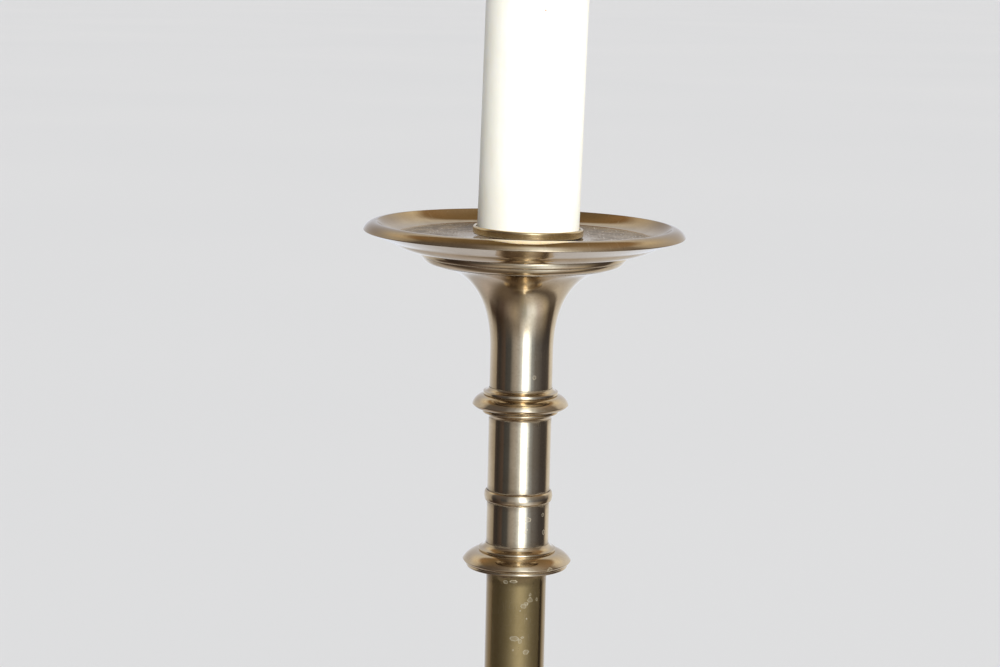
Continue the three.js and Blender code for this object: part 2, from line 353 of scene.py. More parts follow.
class Shader(Nodes):
    """The nodes of one material, with places in millimetres."""

    def __init__(self, name):
        self.material = bpy.data.materials.new(name)
        self.material.use_nodes = True
        super().__init__(self.material.node_tree)
        self.bsdf = self.node("BsdfPrincipled")
        self.feed(self.node("OutputMaterial").inputs["Surface"], self.bsdf.outputs[0])
        self.place = self.vector("SCALE", self.node("TexCoord").outputs["Object"], scale=1 / MM)

    def unrolled(self):
        """The surface unrolled: millimetres round the axis at one radius, and height."""
        across, deep, up = self.parts(self.place)
        return self.flat(self.math("MULTIPLY", self.azimuth(across, deep), UNROLLED_RADIUS), up)

    def off_axis(self):
        across, deep, _ = self.parts(self.place)
        return self.vector("LENGTH", self.flat(across, deep))

    def finish(self, **inputs):
        for name, value in inputs.items():
            self.feed(self.bsdf.inputs[name.replace("_", " ")], value)
        return self.material


class Finish:
    """The colour, roughness and metalness of a surface, as one thing after another covers it."""

    def __init__(self, shader, colour, roughness, metal):
        self.shader = shader
        self.colour = colour
        self.roughness = roughness
        self.metal = metal

    def cover(self, amount, colour, opacity=1.0, roughness=0.0, metal=0.0):
        """Blends a colour in, adds to the roughness and takes from the metalness, all by the amount."""
        shader = self.shader
        factor = amount if opacity == 1.0 else shader.math("MULTIPLY", amount, opacity)
        self.colour = shader.blend(factor, self.colour, colour)
        if roughness:
            self.roughness = shader.math("ADD", self.roughness, shader.math("MULTIPLY", amount, roughness))
        if metal:
            lost = shader.math("MULTIPLY", amount, metal)
            self.metal = shader.math("SUBTRACT", self.metal, lost, clamp=True)


# ---------------------------------------------------------------- brass


def scratch_lines(shader, unrolled, turn, spacing, amount):
    """Thin straight scratches, all at one angle to the axis, broken into short lengths."""
    along = shader.stretched(unrolled, (spacing, 0.05, 1.0), turn)
    line = shader.ramp(shader.noise(along, 1.0, 1.0), 0.70 - amount, 0.73 - amount)
    broken = shader.ramp(shader.noise(unrolled, 0.11, 2.0), 0.52, 0.60)
    return shader.math("MULTIPLY", line, broken)


def water_marks(shader, unrolled, marks):
    """Pale dried drops: each is (degrees right of the front, height, half its height, width over height)."""
    total = None
    warp = shader.math("SUBTRACT", shader.noise(shader.place, 0.8, 1.0), 0.5)
    for turn, height, ring, width in marks:
        offset = shader.vector("SUBTRACT", unrolled, (math.radians(turn) * UNROLLED_RADIUS, height, 0))
        away = shader.vector("LENGTH", shader.vector("MULTIPLY", offset, (1 / width, 1, 1)))
        away = shader.math("ADD", away, shader.math("MULTIPLY", warp, 0.9))
        rim = shader.math("ABSOLUTE", shader.math("SUBTRACT", away, ring))
        edge = shader.ramp(rim, 0.06, 0.22, 1.0, 0.0)
        inside = shader.ramp(away, ring * 0.8, ring * 1.05, 0.28, 0.0)
        mark = shader.math("MAXIMUM", edge, inside)
        total = mark if total is None else shader.math("MAXIMUM", total, mark)
    return total


def dust_on_floor(shader, level, reach):
    """(dust, pale grains partly painted as glints) lying on a level floor about the axis, out to its reach.
    """
    across, _, up = shader.parts(shader.place)
    away = shader.off_axis()
    low = shader.ramp(up, level + 0.6, level + 2.2, 1.0, 0.0)
    low = shader.math("MULTIPLY", low, shader.math("GREATER_THAN", up, level - 0.8))
    on_floor = shader.math("MULTIPLY", low, shader.ramp(away, reach - 3, reach + 1, 1.0, 0.0))
    wiped = shader.ramp(away, 31, 38, 0.25, 1.0)
    drifts = shader.ramp(shader.noise(shader.place, 0.12, 4.0, 0.65), 0.3, 0.65, 0.45, 1.0)
    dust = shader.math("MULTIPLY", on_floor, shader.math("MULTIPLY", wiped, drifts))
    distance, chance = shader.cells(shader.place, 0.55)
    # Painted glints: the pale grains grow more common towards +X, the lit right side.
    rarity = shader.ramp(across, -40, 60, 0.80, 0.60, smooth=False)
    chosen = shader.math("GREATER_THAN", chance, rarity)
    grain = shader.math("MULTIPLY", shader.ramp(distance, 0.16, 0.30, 1.0, 0.0), chosen)
    return dust, shader.math("MULTIPLY", grain, on_floor)


def browner_lip_ends(shader, reach):
    """How brown the lip beyond the floor is: most at its left and right ends."""
    across = shader.math("ABSOLUTE", shader.parts(shader.place)[0])
    sideways = shader.ramp(across, reach - 22, reach + 16, 0.0, 0.75)
    return shader.math("MULTIPLY", sideways, shader.ramp(shader.off_axis(), reach + 6, reach + 11))


def brass(name, tone, tarnish, roughness, marks=(), coat=0.0, dust=None, turned=0.0):
    """Old polished brass, which may have water marks, lacquer, dust at a (level, reach) and lathe marks."""
    shader = Shader(name)
    unrolled = shader.unrolled()
    clouds = shader.ramp(shader.noise(shader.place, 0.05, 4.0, 0.6), 0.38, 0.68)
    mottle = shader.noise(shader.place, 0.9, 3.0, 0.6)
    crease_patchiness = shader.ramp(shader.noise(shader.place, 0.25, 2.0), 0.3, 0.7, 0.55, 1.2)
    gathered = shader.node("Attribute", attribute_name="dirt").outputs["Fac"]
    dirt = shader.math("MULTIPLY", gathered, crease_patchiness, clamp=True)
    rising = scratch_lines(shader, unrolled, 0.5, 2.6, 0.0)
    falling = scratch_lines(shader, unrolled, -1.1, 3.1, 0.01)
    scratches = shader.math("MAXIMUM", rising, falling)
    away, chance = shader.cells(shader.place, 0.45)
    pits = shader.math("MULTIPLY", shader.ramp(away, 0.05, 0.12, 1.0, 0.0), shader.ramp(chance, 0.72, 0.74))

    finish = Finish(
        shader,
        shader.blend(shader.math("MULTIPLY", clouds, 0.55), tone, tarnish),
        shader.ramp(clouds, 0.0, 1.0, roughness, roughness + 0.05, smooth=False),
        shader.ramp(dirt, 0.2, 0.9, 1.0, 0.35),
    )
    finish.cover(shader.ramp(mottle, 0.45, 0.8, 0.0, 0.25), (0.42, 0.32, 0.19))
    finish.cover(scratches, (0.86, 0.78, 0.6), opacity=0.25, roughness=0.12)
    finish.cover(pits, (0.16, 0.11, 0.07), opacity=0.6)
    # The creases darken with dirt, and with painted shade at the shafts' ends by the collars, in the bells'
    # socket mouths, under the pan's skirt and at the foot of the cup.
    finish.cover(dirt, (0.07, 0.042, 0.024), roughness=0.4)
    if marks:
        spots = water_marks(shader, unrolled, marks)
        patchy = shader.ramp(mottle, 0.3, 0.7, 0.55, 0.95)
        finish.cover(spots, (0.60, 0.54, 0.40), opacity=patchy, roughness=0.2, metal=0.22)
    if dust:
        lying, grains_and_glints = dust_on_floor(shader, *dust)
        # The lip is made browner towards its left and right ends.
        finish.cover(browner_lip_ends(shader, dust[1]), (0.34, 0.24, 0.13))
        finish.cover(lying, (0.085, 0.062, 0.045), opacity=0.85, roughness=0.30, metal=0.55)
        finish.cover(grains_and_glints, (0.80, 0.75, 0.68), opacity=0.85, metal=0.6)
    if coat:
        glancing = shader.ramp(shader.node("LayerWeight").outputs["Facing"], 0.36, 0.46)
        smoothed = shader.ramp(glancing, 0.0, 1.0, 1.0, 0.25, smooth=False)
        finish.roughness = shader.math("MULTIPLY", finish.roughness, smoothed)
        coat = shader.math("MULTIPLY", glancing, coat)

    waves = shader.bump(shader.noise(shader.place, 0.12, 2.0), 0.06, 0.5)
    lines = shader.noise(shader.stretched(unrolled, (0.02, 5.0, 1.0)), 1.0, 2.0)
    turning = shader.bump(lines, 0.003, 0.35, waves)
    worn = shader.bump(shader.math("ADD", scratches, pits), -0.006, 0.5, turning)
    return shader.finish(
        Base_Color=finish.colour,
        Metallic=finish.metal,
        Roughness=finish.roughness,
        Normal=worn,
        Coat_Weight=coat,
        Coat_Roughness=0.08,
        Coat_IOR=1.6,
        Coat_Tint=(0.88, 0.76, 0.62, 1),
        Anisotropic=turned,
        Anisotropic_Rotation=0.25,
        Tangent=shader.node("Tangent", direction_type="RADIAL", axis="Z").outputs[0],
    )


# ---------------------------------------------------------------- other materials


def wax(name, speck):
    """Ivory wax with one small burnt speck on it."""
    shader = Shader(name)
    drift = shader.ramp(shader.noise(shader.place, 0.03, 3.0), 0.3, 0.7)
    cloudy = shader.noise(shader.stretched(shader.place, (1.0, 1.0, 0.25)), 0.25, 4.0, 0.6)
    surface = shader.blend(drift, (0.73, 0.715, 0.62), (0.755, 0.745, 0.69))
    surface = shader.blend(shader.ramp(cloudy, 0.45, 0.8, 0.0, 0.35), surface, (0.68, 0.645, 0.54))
    burnt = shader.ramp(shader.vector("DISTANCE", shader.place, speck), 0.35, 0.8, 0.85, 0.0)
    surface = shader.blend(burnt, surface, (0.30, 0.11, 0.05))
    gloss = shader.ramp(cloudy, 0.3, 0.7, 0.38, 0.52)
    dents = shader.bump(shader.noise(shader.place, 0.15, 3.0), 0.12, 0.35)
    grain = shader.bump(shader.noise(shader.place, 2.5, 2.0), 0.01, 0.3, dents)
    return shader.finish(
        Base_Color=surface,
        Roughness=gloss,
        Normal=grain,
        Subsurface_Weight=0.25,
        Subsurface_Radius=(0.012, 0.009, 0.005),
        Subsurface_Scale=0.5,
        IOR=1.44,
    )


def steel(name):
    shader = Shader(name)
    mottle = shader.noise(shader.place, 0.7, 4.0, 0.6)
    surface = shader.blend(shader.ramp(mottle, 0.35, 0.7), (0.56, 0.56, 0.57), (0.44, 0.43, 0.42))
    gloss = shader.ramp(mottle, 0.3, 0.7, 0.3, 0.5)
    lines = shader.bump(shader.noise(shader.stretched(shader.place, (0.2, 0.2, 4.0)), 1.0, 2.0), 0.01, 0.4)
    return shader.finish(Base_Color=surface, Metallic=1.0, Roughness=gloss, Normal=lines)


def iron(name):
    shader = Shader(name)
    mottle = shader.ramp(shader.noise(shader.place, 0.25, 5.0, 0.65), 0.4, 0.7)
    surface = shader.blend(mottle, (0.06, 0.057, 0.055), (0.16, 0.09, 0.055))
    sand = shader.bump(shader.noise(shader.place, 1.2, 4.0, 0.7), 0.25, 0.7)
    return shader.finish(Base_Color=surface, Metallic=0.6, Roughness=0.75, Normal=sand)


def felt(name):
    shader = Shader(name)
    fibres = shader.noise(shader.place, 2.2, 4.0, 0.75, 1.5)
    surface = shader.blend(fibres, (0.018, 0.05, 0.03), (0.06, 0.12, 0.075))
    nap = shader.bump(fibres, 0.3, 0.9)
    return shader.finish(Base_Color=surface, Roughness=0.95, Normal=nap, Sheen_Weight=0.4)


def cotton(name):
    shader = Shader(name)
    fibres = shader.noise(shader.stretched(shader.place, (3.0, 3.0, 0.8)), 2.0, 3.0, 0.7)
    surface = shader.blend(fibres, (0.50, 0.46, 0.36), (0.66, 0.62, 0.52))
    nap = shader.bump(fibres, 0.08, 0.8)
    return shader.finish(Base_Color=surface, Roughness=0.9, Normal=nap, Sheen_Weight=0.3)


# ---------------------------------------------------------------- shapes of the turned pieces


def tube(size, bore):
    return [(bore, 0), (size.radius, 0), (size.radius, size.height), (bore, size.height)]


def sleeve(size):
    return tube(size, SLEEVE_BORE), [crease((SEAT, level), 0.5, 0.8) for level in (0, size.height)]


def shaft(size):
    """A tube with painted shade just outside the mouths of the collars on its ends, where the collars shadow
    it.
    """
    ends = [crease((size.radius, level), 3.2, 1.2) for level in (10, size.height - 10)]
    return tube(size, size.radius - SHAFT_WALL), ends


def bead(size):
    foot, low, middle = (SEAT, 0.3), (size.radius - 0.25, 1.35), (size.radius, size.height / 2)
    half = [(STEM_BORE, 0), (SEAT, 0), foot, *arc(foot, low, 0.3, 8), *arc(low, middle, 0.05, 6)]
    creases = [crease((SEAT, level), 0.5, 1.0) for level in (0.2, size.height - 0.2)]
    return half + flipped(half, size.height)[1:], creases


def bell_collar(size):
    """A bell with a rim, a groove above it, a fillet near its top and a socket for the shaft."""
    rim, rim_top = (size.radius - 2.0, 0), (size.radius - 2.0, 1.5)
    groove, under, widest = (size.radius - 2.3, 1.8), (size.radius - 1.0, 2.1), (size.radius, 3.4)
    corner, fillet, fillet_top = (18.9, 8.2), (19.4, 8.5), (19.4, 9.4)
    top, stop = (SEAT, size.height), 8.4
    socket, mouth = (size.radius - 11.95, 3.4), (17, 3.5)
    outline = [
        (STEM_BORE, stop), (socket[0], stop), socket,
        *arc(socket, (rim[0] - 0.5, 0), -0.5, 6),
        rim,
        *arc(rim, rim_top, 0.3, 8),
        groove,
        under,
        *arc(under, widest, 0.18, 8),
        *arc(widest, corner, 1.3, 16),
        *arc(corner, fillet, 0.12, 4),
        *arc(fillet, fillet_top, 0.1, 4),
        *arc(fillet_top, top, -0.6, 8),
        (STEM_BORE, size.height),
    ]
    # The mouth crease paints shade into the mouth of the socket, under the bell.
    creases = [
        crease(corner, 0.5, 1.0), crease(top, 0.4, 0.7),
        crease(groove, 0.5, 1.0), crease(mouth, 6.0, 1.0),
    ]
    return outline, creases


def upper_knop(size):
    """A pointed knop with a cove and a lip below it, and a fillet and a cove above it."""
    foot, cove_top, lip, groove = (SEAT, 0), (18.6, 2.3), (18.9, 3.3), (18.3, 3.9)
    turn, widest = (20.2, 4.7), (size.radius, 6.6)
    ring, fillet, fillet_top = (18.1, 11.6), (18.8, 11.9), (18.7, 13.3)
    top = (SEAT, size.height)
    outline = [
        (STEM_BORE, 0), foot,
        *arc(foot, cove_top, -0.35, 10),
        *arc(cove_top, lip, 0.35, 6),
        groove,
        *arc(groove, turn, 0.15, 5),
        *arc(turn, widest, 0.75, 12),
        *arc(widest, ring, 1.3, 14),
        *arc(ring, fillet, 0.12, 4),
        *arc(fillet, fillet_top, 0.1, 4),
        *arc(fillet_top, top, -0.6, 8),
        (STEM_BORE, size.height),
    ]
    creases = [
        crease(foot, 0.4, 0.7), crease(groove, 0.7, 1.0),
        crease(ring, 0.8, 1.0), crease(top, 0.4, 0.7),
    ]
    return outline, creases


def centre_knop(size):
    foot, shoulder, widest = (SEAT, 0), (19.5, 7.5), (size.radius, size.height / 2)
    lower = [(STEM_BORE, 0), foot, *arc(foot, shoulder, -0.9, 8), *arc(shoulder, widest, 3.2, 20)]
    below = [crease(foot, 0.4, 0.7), crease(shoulder, 0.8, 0.9)]
    outline = lower + flipped(lower, size.height)[1:]
    return outline, below + upside_down((lower, below), size.height)[1]


def flared_neck(size):
    """Straight at the bottom, then flared out almost flat to a thin rim."""
    start, rim_foot, rim = (SEAT, 18.5), (size.radius, size.height - 0.5), (size.radius, size.height)
    flare = curve(start, (SEAT, 43.7), (25.6, 58.9), rim_foot, 48)
    outline = [(STEM_BORE, 0), (SEAT, 0), start, *flare, rim, (STEM_BORE, size.height)]
    return outline, [crease((SEAT, 0), 0.4, 0.7), crease(rim, 0.6, 0.9)]


def pan_collar(size):
    """A quarter round below an upright band, and a boss that the pan sits on."""
    top, boss = 6.1, size.radius - 3.3
    foot, round_top = (size.radius - 6.6, 0), (size.radius - 1.6, 3.3)
    band_foot, band_top = (size.radius - 0.7, 3.7), (size.radius, top)
    outline = [
        (STEM_BORE, 0), foot,
        *arc(foot, round_top, 1.1, 16),
        band_foot,
        *arc(band_foot, band_top, 0.15, 8),
        (boss, top), (boss, size.height), (STEM_BORE, size.height),
    ]
    creases = [crease(foot, 0.7, 0.9), crease((size.radius - 1.6, 3.5), 0.6, 1.0), crease(band_top, 0.4, 0.8)]
    return outline, creases


def drip_pan(size):
    """Heights are above the underside of the pan's skirt, which is its lowest place."""
    edge, edge_below = (size.radius, PAN_EDGE_LEVEL), (size.radius - 0.5, PAN_EDGE_LEVEL - 0.5)
    band, skirt = (67, PAN_EDGE_LEVEL - 5), (54, 0)
    crest, floor_edge = (73.6, size.height), (PAN_FLOOR_RADIUS, PAN_FLOOR_LEVEL)
    under, hollow = PAN_EDGE_LEVEL - 4.3, (50, 2.5)
    outline = [
        (ROD_HOLE, under), (50, under), (51, 0), skirt,
        *arc(skirt, band, 1.2, 16),
        edge_below,
        *arc(edge_below, edge, 0.12, 4),
        *arc(edge, crest, 1.2, 18),
        *arc(crest, floor_edge, -1.4, 16),
        (ROD_HOLE, PAN_FLOOR_LEVEL),
    ]
    # The hollow crease is dirt and painted shade in the hollow under the skirt.
    creases = [
        crease(skirt, 1.5, 1.0), crease(hollow, 4.5, 1.0), crease(floor_edge, 2.2, 0.75),
        crease((size.radius, PAN_EDGE_LEVEL - 0.4), 0.5, 0.7),
    ]
    return outline, creases


def base_dome(size):
    """From the rim up: a rolled edge, an ovolo, a deep cove and a flat seat for the stem."""
    seat, shoulder = (51.2, size.height), (54.5, 49.5)
    cove_foot, ovolo_top, ovolo_foot = (71, 26), (73.5, 24), (88, 12)
    edge_top, edge_wide, edge_foot = (90.5, 10.5), (size.radius, 4.5), (size.radius - 1, 0)
    inner, inner_shoulder = size.height - DOME_WALL, (49.5, size.height - DOME_WALL)
    outline = [
        (size.radius - 6, 0), edge_foot,
        *arc(edge_foot, edge_wide, 0.5, 5),
        *arc(edge_wide, edge_top, 2.6, 14),
        ovolo_foot,
        *arc(ovolo_foot, ovolo_top, 3.2, 18),
        cove_foot,
        *arc(cove_foot, shoulder, -4.5, 24),
        seat, (ROD_HOLE, size.height), (ROD_HOLE, inner),
        inner_shoulder, *arc(inner_shoulder, (68, 23.5), 4.5, 8), (85, 8.5), (size.radius - 6, 5),
    ]
    creases = [
        crease(shoulder, 1.4, 0.8), crease(seat, 1.2, 1.0), crease(cove_foot, 1.4, 1.0),
        crease(ovolo_top, 1.2, 0.8), crease(ovolo_foot, 1.4, 1.0), crease(edge_top, 1.2, 0.9),
        crease((size.radius, 0), 1.5, 0.6),
    ]
    return outline, creases


def candle_cup(size):
    """Heights are along the cup's own axis."""
    radius, inner = size.radius, size.radius - CUP_WALL
    foot, foot_top = (radius - 0.9, 0), (radius, 0.9)
    shoulder, lip = (radius, CUP_HEIGHT - 1.1), (inner + 0.5, CUP_HEIGHT)
    outline = [
        (CUP_HOLE, 0), foot,
        *arc(foot, foot_top, 0.25, 4),
        shoulder,
        *arc(shoulder, lip, 0.35, 8),
        (inner, CUP_HEIGHT - 0.5), (inner, 1.2), (CUP_HOLE, 1.2),
    ]
    # The crease at the cup's foot is dirt and painted shade where the cup stands on the pan.
    return outline, [crease((radius, 0), 1.3, 1.0), crease((inner, 2.4), 0.9, 0.9)]


def candle_pillar(size):
    """A pillar with a softened top, a drilled foot and a narrow hole for the wick."""
    radius, top = size.radius, CANDLE_LENGTH
    hole, hole_depth, wick_hole, wick_foot = 8.4, 50, 1.5, top - 8
    edge_start, edge_end = (radius, top - 4), (radius - 3, top - 1.5)
    outline = [
        (hole, 0), (radius, 0), edge_start,
        *arc(edge_start, edge_end, 0.7, 10),
        *arc(edge_end, (wick_hole, top), 0.8, 10),
        (wick_hole, wick_foot), (0, wick_foot), (0, hole_depth), (hole, hole_depth - 4),
    ]
    return outline, ()


def pricket(size):
    """A shank, a flange that clamps the pan, and a spike. Heights are above the pan's floor."""
    shank = [(0, -PRICKET_SHANK), (4, -PRICKET_SHANK), (4, 0)]
    flange = [(6, 0), (6, 2.4), (5.4, 3), (4.2, 3)]
    tip = size.height - PRICKET_SHANK
    return shank + flange + [(3.0, 25), (0.5, tip - 0.2), (0, tip)], [crease(flange[-1], 1.0, 0.8)]


# ---------------------------------------------------------------- camera, light and floor


def add_camera(pan):
    """Stands 1.23 m in front of the stem, a little above the pan, and looks down at the stem below it."""
    yaw, pitch, roll = math.radians(-0.515), math.radians(8.65), math.radians(1.28)
    distance, above_pan = 1.2262, 0.1311
    forward = Vector((math.sin(yaw) * math.cos(pitch), math.cos(yaw) * math.cos(pitch), -math.sin(pitch)))
    level_right = Vector((math.cos(yaw), -math.sin(yaw), 0))
    level_up = level_right.cross(forward)
    right = level_right * math.cos(roll) + level_up * math.sin(roll)
    up = level_up * math.cos(roll) - level_right * math.sin(roll)
    data = bpy.data.cameras.new("camera")
    data.sensor_width = 36
    data.lens = 89.17
    camera = bpy.data.objects.new("camera", data)
    turn = Matrix((right, up, -forward)).transposed().to_4x4()
    camera.matrix_world = Matrix.Translation((0, -distance, pan.top * MM + above_pan)) @ turn
    bpy.context.scene.collection.objects.link(camera)
    bpy.context.scene.camera = camera


# What the brass mirrors, by degrees round from straight back at the viewer: (degrees, red, green, blue),
# in quarters of the brightness. Pale walls stand behind, the room in front is dark, and it has a tall window.
# Each ring is (degrees above the horizon, what is seen around at that height).
ROOM = (
    (-88, (
        (-180, 0.05, 0.04, 0.03), (-120, 0.02, 0.014, 0.011), (-50, 0.018, 0.013, 0.011),
        (0, 0.04, 0.034, 0.028), (30, 0.06, 0.054, 0.048), (80, 0.03, 0.025, 0.02),
        (120, 0.016, 0.012, 0.01), (180, 0.05, 0.04, 0.03),
    )),
    (-68, (
        (-180, 0.10, 0.078, 0.06), (-165, 0.036, 0.028, 0.021), (-60, 0.036, 0.028, 0.022),
        (-20, 0.05, 0.042, 0.035), (0, 0.084, 0.075, 0.061), (24, 0.14, 0.133, 0.124),
        (42, 0.16, 0.155, 0.15), (80, 0.08, 0.07, 0.06), (106, 0.022, 0.018, 0.015),
        (150, 0.08, 0.066, 0.054), (180, 0.10, 0.078, 0.06),
    )),
    (-45, (
        (-180, 0.125, 0.12, 0.125), (-134, 0.12, 0.11, 0.11), (-112, 0.045, 0.038, 0.034),
        (-94, 0.019, 0.015, 0.013), (-72, 0.027, 0.02, 0.018), (-48, 0.073, 0.063, 0.057),
        (-26, 0.112, 0.098, 0.083), (-6, 0.088, 0.083, 0.082), (10, 0.115, 0.125, 0.13),
        (22, 0.24, 0.26, 0.30), (40, 0.27, 0.29, 0.32), (58, 0.155, 0.148, 0.155), (84, 0.12, 0.105, 0.085),
        (102, 0.03, 0.025, 0.022), (120, 0.04, 0.034, 0.03), (130, 0.145, 0.135, 0.125),
        (160, 0.135, 0.13, 0.13), (180, 0.11, 0.105, 0.11),
    )),
    (-30, (
        (-180, 0.135, 0.135, 0.145), (-150, 0.11, 0.106, 0.108), (-128, 0.10, 0.094, 0.09),
        (-118, 0.024, 0.018, 0.015), (-94, 0.010, 0.007, 0.006), (-76, 0.014, 0.010, 0.008),
        (-48, 0.03, 0.026, 0.024), (-28, 0.06, 0.053, 0.048), (-12, 0.075, 0.07, 0.065),
        (0, 0.16, 0.16, 0.165), (6, 0.20, 0.205, 0.22), (13, 0.22, 0.23, 0.25), (26, 0.26, 0.275, 0.30),
        (38, 0.19, 0.20, 0.22), (56, 0.10, 0.096, 0.098), (84, 0.06, 0.052, 0.043),
        (100, 0.018, 0.014, 0.012), (118, 0.022, 0.018, 0.015), (127, 0.14, 0.13, 0.122),
        (160, 0.16, 0.158, 0.16), (180, 0.135, 0.135, 0.145),
    )),
    (-14, (
        (-180, 0.22, 0.235, 0.265), (-150, 0.18, 0.187, 0.205), (-130, 0.155, 0.152, 0.155),
        (-108, 0.105, 0.096, 0.086), (-102, 0.085, 0.077, 0.068), (-98, 0.016, 0.013, 0.013),
        (-84, 0.010, 0.0095, 0.010), (-64, 0.024, 0.018, 0.016), (-56, 0.015, 0.016, 0.018),
        (-40, 0.021, 0.022, 0.024), (-30, 0.075, 0.072, 0.072), (-20, 0.105, 0.102, 0.104),
        (-8, 0.128, 0.133, 0.144), (2, 0.22, 0.25, 0.29), (7, 0.60, 0.66, 0.78), (12, 1.0, 1.0, 1.0),
        (21, 0.95, 1.0, 1.0), (29, 0.35, 0.40, 0.48), (38, 0.10, 0.115, 0.14), (52, 0.046, 0.047, 0.053),
        (84, 0.017, 0.016, 0.018), (110, 0.014, 0.013, 0.014), (117, 0.03, 0.027, 0.026),
        (123, 0.13, 0.12, 0.11), (134, 0.19, 0.186, 0.18), (160, 0.205, 0.21, 0.22),
        (180, 0.22, 0.235, 0.265),
    )),
    (20, (
        (-180, 0.135, 0.135, 0.145), (-150, 0.12, 0.116, 0.122), (-110, 0.145, 0.14, 0.132),
        (-100, 0.11, 0.10, 0.095), (-92, 0.035, 0.033, 0.032), (-70, 0.03, 0.026, 0.026),
        (-40, 0.033, 0.030, 0.030), (-16, 0.085, 0.088, 0.095), (-2, 0.19, 0.21, 0.25),
        (7, 0.55, 0.60, 0.70), (20, 0.60, 0.64, 0.75), (30, 0.19, 0.20, 0.21), (44, 0.075, 0.072, 0.07),
        (72, 0.053, 0.046, 0.041), (98, 0.055, 0.049, 0.045), (110, 0.15, 0.14, 0.132),
        (140, 0.185, 0.18, 0.178), (180, 0.135, 0.135, 0.145),
    )),
    (38, (
        (-180, 0.12, 0.118, 0.12), (-150, 0.17, 0.158, 0.14), (-128, 0.19, 0.165, 0.13),
        (-108, 0.12, 0.105, 0.085), (-94, 0.035, 0.031, 0.029), (-70, 0.03, 0.026, 0.025),
        (-40, 0.034, 0.030, 0.029), (-16, 0.08, 0.08, 0.084), (-2, 0.16, 0.17, 0.19), (7, 0.42, 0.46, 0.52),
        (20, 0.46, 0.50, 0.56), (30, 0.19, 0.20, 0.21), (50, 0.09, 0.083, 0.08), (72, 0.06, 0.05, 0.042),
        (98, 0.06, 0.05, 0.042), (112, 0.15, 0.135, 0.115), (132, 0.21, 0.19, 0.155),
        (150, 0.18, 0.165, 0.145), (180, 0.12, 0.118, 0.12),
    )),
    (47, (
        (-180, 0.05, 0.033, 0.017), (-150, 0.06, 0.039, 0.02), (-128, 0.08, 0.05, 0.026),
        (-104, 0.05, 0.036, 0.022), (-80, 0.03, 0.024, 0.02), (-40, 0.036, 0.03, 0.027),
        (-16, 0.075, 0.07, 0.068), (0, 0.14, 0.14, 0.145), (12, 0.33, 0.36, 0.40), (24, 0.31, 0.33, 0.36),
        (34, 0.18, 0.18, 0.18), (54, 0.10, 0.09, 0.08), (90, 0.075, 0.056, 0.04), (130, 0.08, 0.052, 0.028),
        (160, 0.055, 0.037, 0.02), (180, 0.05, 0.033, 0.017),
    )),
    (62, (
        (-180, 0.05, 0.035, 0.019), (-120, 0.045, 0.032, 0.018), (-60, 0.038, 0.03, 0.025),
        (-26, 0.07, 0.06, 0.052), (-8, 0.13, 0.12, 0.10), (12, 0.25, 0.27, 0.29), (30, 0.20, 0.21, 0.23),
        (54, 0.11, 0.10, 0.09), (90, 0.075, 0.056, 0.038), (144, 0.055, 0.038, 0.021),
        (180, 0.05, 0.035, 0.019),
    )),
    (84, (
        (-180, 0.045, 0.031, 0.015), (-60, 0.034, 0.024, 0.012), (0, 0.055, 0.041, 0.024),
        (20, 0.085, 0.07, 0.05), (60, 0.05, 0.037, 0.021), (180, 0.045, 0.031, 0.015),
    )),
)


def shades_around(nodes, around, shades):
    """What is seen of the room round about at one height."""
    made = nodes.node("ValToRGB")
    stops = made.color_ramp.elements
    while len(stops) < len(shades):
        stops.new(1.0)
    for stop, (degrees, *shade) in zip(stops, shades):
        stop.position = degrees / 360 + 0.5
        stop.color = (*shade, 1)
    nodes.feed(made.inputs[0], around)
    return made.outputs[0]


def mirrored_room(nodes):
    """The room's colour in the direction that a ray takes."""
    across, deep, up = nodes.parts(nodes.node("TexCoord").outputs["Generated"])
    around = nodes.ramp(nodes.azimuth(across, deep), -math.pi, math.pi, smooth=False)
    height = nodes.math("ARCSINE", up)
    low, shades = ROOM[0]
    room = shades_around(nodes, around, shades)
    for high, shades in ROOM[1:]:
        higher = nodes.ramp(height, math.radians(low), math.radians(high))
        room = nodes.blend(higher, room, shades_around(nodes, around, shades))
        low = high
    return room


def add_world(pale, glow):
    """Plain and pale where it is seen, and a simple room where the brass mirrors it."""
    world = bpy.data.worlds.new("studio")
    bpy.context.scene.world = world
    world.use_nodes = True
    world.cycles.sampling_method = "NONE"
    nodes = Nodes(world.node_tree)
    rays = nodes.node("LightPath")

    def background(colour, strength=1.0):
        made = nodes.node("Background")
        nodes.feed(made.inputs[0], colour)
        nodes.feed(made.inputs[1], strength)
        return made.outputs[0]

    def choice(ray, otherwise, then):
        made = nodes.node("MixShader")
        nodes.feed(made.inputs[0], rays.outputs[ray])
        nodes.feed(made.inputs[1], otherwise)
        nodes.feed(made.inputs[2], then)
        return made.outputs[0]

    mirrored = background(mirrored_room(nodes), ROOM_BRIGHTNESS)
    lit = choice("Is Glossy Ray", background((*glow, 1)), mirrored)
    seen = choice("Is Camera Ray", lit, background((*pale, 1)))
    nodes.feed(nodes.node("OutputWorld").inputs["Surface"], seen)


def add_sun(name, azimuth, elevation, strength, spread):
    """A soft distant light, from azimuth degrees right of the front. The brass doesn't mirror it."""
    data = bpy.data.lights.new(name, "SUN")
    data.energy = strength
    data.angle = math.radians(spread)
    lamp = bpy.data.objects.new(name, data)
    a, e = math.radians(azimuth), math.radians(elevation)
    towards = Vector((math.sin(a) * math.cos(e), -math.cos(a) * math.cos(e), math.sin(e)))
    lamp.rotation_mode = "QUATERNION"
    lamp.rotation_quaternion = towards.to_track_quat("Z", "Y")
    lamp.visible_glossy = False
    bpy.context.scene.collection.objects.link(lamp)
    return lamp


def light_only(lamp, pieces):
    """The lamp lights these pieces and nothing else."""
    lit = bpy.data.collections.new(lamp.name + "_lit")
    for piece in pieces:
        lit.objects.link(piece)
    lamp.light_linking.receiver_collection = lit


